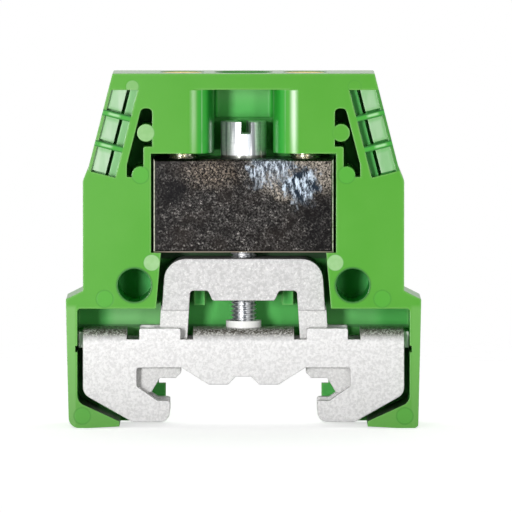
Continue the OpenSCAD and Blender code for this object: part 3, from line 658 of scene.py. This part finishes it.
def slotted_head(bm, bottom, top, radius, slot_w, slot_depth, slot_turn):
    """Adds a round head with a slot across its top, in metres."""
    sweep = math.pi / 2 - math.asin(slot_w / 2 / radius)
    sides = []
    for middle in (0, math.pi):
        sides.append([middle - sweep + 2 * sweep * k / HEAD_STEPS for k in range(HEAD_STEPS + 1)])

    def ring(angles, height):
        return [bm.verts.new((radius * math.cos(a + slot_turn), radius * math.sin(a + slot_turn), height))
                for a in angles]

    low = ring(sides[0] + sides[1], bottom)
    ledge = ring(sides[0] + sides[1], top - slot_depth)
    bm.faces.new(reversed(low))
    count = len(low)
    for k in range(count):
        bm.faces.new((low[k], low[(k + 1) % count], ledge[(k + 1) % count], ledge[k])).smooth = True
    half = count // 2
    bm.faces.new((ledge[half - 1], ledge[half], ledge[-1], ledge[0]))
    for side in (0, 1):
        edge = ledge[side * half:(side + 1) * half]
        crown = ring(sides[side], top)
        for k in range(half - 1):
            bm.faces.new((edge[k], edge[k + 1], crown[k + 1], crown[k])).smooth = True
        bm.faces.new((edge[-1], edge[0], crown[0], crown[-1]))
        bm.faces.new(crown)


def slotted_screw(node, body, mat, thread_r, pitch, tip_r, tip_h, head_h, slot_w, slot_depth,
                  slot_turn):
    """Replaces a screw's plain solid by one with a cut thread; slot_turn is in degrees."""
    low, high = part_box(node)
    head_r = (high.x - low.x) / 2
    head_z = high.z - head_h * MM
    bm = bmesh.new()
    thread(bm, low.z, head_z, thread_r * MM, pitch * MM, tip_r * MM, tip_h * MM)
    slotted_head(bm, head_z, high.z, head_r, slot_w * MM, slot_depth * MM, math.radians(slot_turn))
    mesh = bpy.data.meshes.new(node + "_cut")
    bm.to_mesh(mesh)
    bm.free()
    mesh.set_sharp_from_angle(angle=SHARP_ANGLE)
    screw = bpy.data.objects.new(node + "_cut", mesh)
    bpy.context.scene.collection.objects.link(screw)
    screw.location.x = (low.x + high.x) / 2
    dress(screw, mat)
    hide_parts(node)
    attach(screw, body)


def floor_paper():
    """Pale paper that keeps the shadow and fades out to the white backdrop."""
    s = Shader("floor_paper")
    s.colour = s.mix(s.noise(scale=900, detail=3), (0.87, 0.87, 0.87, 1), (0.91, 0.91, 0.91, 1))
    seen = s.add("ShaderNodeLightPath").outputs["Is Camera Ray"]
    s.finish(roughness=0.9, emission_color=WHITE, emission_strength=s.times(seen, 0.64))
    fade = s.add("ShaderNodeMixShader")
    s.put(s.step(s.length(s.x, s.y), FADE_FROM, FADE_TO), fade.inputs[0])
    s.put(s.bsdf.outputs[0], fade.inputs[1])
    s.put(s.add("ShaderNodeBsdfTransparent").outputs[0], fade.inputs[2])
    s.put(fade.outputs[0], s.tree.nodes["Material Output"].inputs["Surface"])
    return s.mat


def studio_world():
    """White for the camera; for the light it is dark in front, where the lamps are, and pale behind."""
    world = bpy.data.worlds.new("studio")
    world.use_nodes = True
    n = Nodes(world.node_tree)
    toward = n.parts(n.add("ShaderNodeTexCoord").outputs["Generated"])
    sides = n.ramp(toward["Y"], -0.99, -0.88, to_low=0.05, to_high=0.8)
    behind = n.ramp(toward["Y"], 0.2, 0.7, to_low=0.0, to_high=0.2)
    overhead = n.ramp(toward["Z"], 0.2, 0.8, to_low=1.0, to_high=0.9)

    # Reflections see all of it; what is matt gets a smaller share from the front
    path = n.add("ShaderNodeLightPath")
    matt_share = n.ramp(toward["Y"], 0.05, 0.4, to_low=0.2, to_high=0.9)
    share = n.most(matt_share, path.outputs["Is Glossy Ray"])
    light = n.times(n.plus(sides, behind), overhead, share)
    background = n.tree.nodes["Background"]
    n.put(WHITE, background.inputs["Color"])
    n.put(n.mix(path.outputs["Is Camera Ray"], light, 1.0, kind="FLOAT"), background.inputs["Strength"])
    return world


def softbox(name, azimuth, distance, bottom, width, height, power):
    """Soft lamp round the object, in metres and watts; azimuth is in degrees from the front, to the right."""
    data = bpy.data.lights.new(name, "AREA")
    data.shape = "RECTANGLE"
    data.size = width
    data.size_y = height
    data.energy = power
    made = bpy.data.objects.new(name, data)
    bpy.context.scene.collection.objects.link(made)
    angle = math.radians(azimuth)
    made.location = (distance * math.sin(angle), -distance * math.cos(angle), bottom + height / 2)
    made.rotation_euler = (math.radians(90), 0, angle)


# The part's pieces
yellow = plated_screw("yellow_zinc", dark=srgb(234, 226, 194), light=srgb(255, 254, 244), roughness=0.22,
                      metallic=1.0, band=(TOP_Z - 1, TOP_Z, srgb(250, 216, 44)))
# The rail screw's band, where its head meets the block, is a painted shadow
bright = plated_screw("bright_zinc", dark=srgb(122, 127, 134), light=srgb(252, 253, 254), roughness=0.3,
                      metallic=0.86, band=(BLOCK_TOP, BLOCK_TOP + 0.4, srgb(120, 122, 116)))
dress(nodes["housing"], green_moulding())
dress(nodes["terminal_body"], nickel_plate())
dress(nodes["clamp_yoke"], matte_zinc("grey_zinc", dark=srgb(174, 173, 173), light=srgb(196, 195, 195),
                                      pale_below=YOKE_LINE_Z))
dress(nodes["rail_foot"], matte_zinc("matte_zinc", dark=srgb(199, 198, 198), light=srgb(220, 219, 219),
                                     pale_above=PAINTED_WHITE_Z))
slotted_screw("rail_screw", "rail_screw", bright, thread_r=2.5, pitch=0.8, tip_r=1.9,
              tip_h=0.8, head_h=7, slot_w=1.95, slot_depth=2.3, slot_turn=6.5)
for side in ("left", "right"):
    slotted_screw("clamp_screw_" + side, "clamp_" + side, yellow, thread_r=3, pitch=1,
                  tip_r=2.2, tip_h=1.2, head_h=5, slot_w=1.2, slot_depth=2, slot_turn=90)

# Floor and light
bpy.ops.mesh.primitive_plane_add(size=FLOOR_SIZE)
floor = bpy.context.object
floor.name = "floor"
dress(floor, floor_paper())
bpy.context.scene.world = studio_world()
softbox("key", azimuth=-20, distance=0.9, bottom=-0.12, width=0.13, height=0.32, power=5.9)
softbox("fill", azimuth=21, distance=0.9, bottom=-0.12, width=0.1, height=0.32, power=1.5)

# Camera at the photograph's angle
camera = bpy.data.objects.new("camera", bpy.data.cameras.new("camera"))
bpy.context.scene.collection.objects.link(camera)
camera.location = (CAMERA_X * MM, CAMERA_Y * MM, CAMERA_Z * MM)
aim = Vector((CAMERA_X * MM, FRONT_Y * MM, AIM_Z * MM))
camera.rotation_mode = "QUATERNION"
camera.rotation_quaternion = (aim - camera.location).to_track_quat("-Z", "Y")
camera.data.sensor_width = SENSOR
camera.data.lens = LENS
camera.data.clip_start = CLIP_START
camera.data.clip_end = CLIP_END
bpy.context.scene.camera = camera
bpy.context.scene.view_settings.view_transform = "Standard"
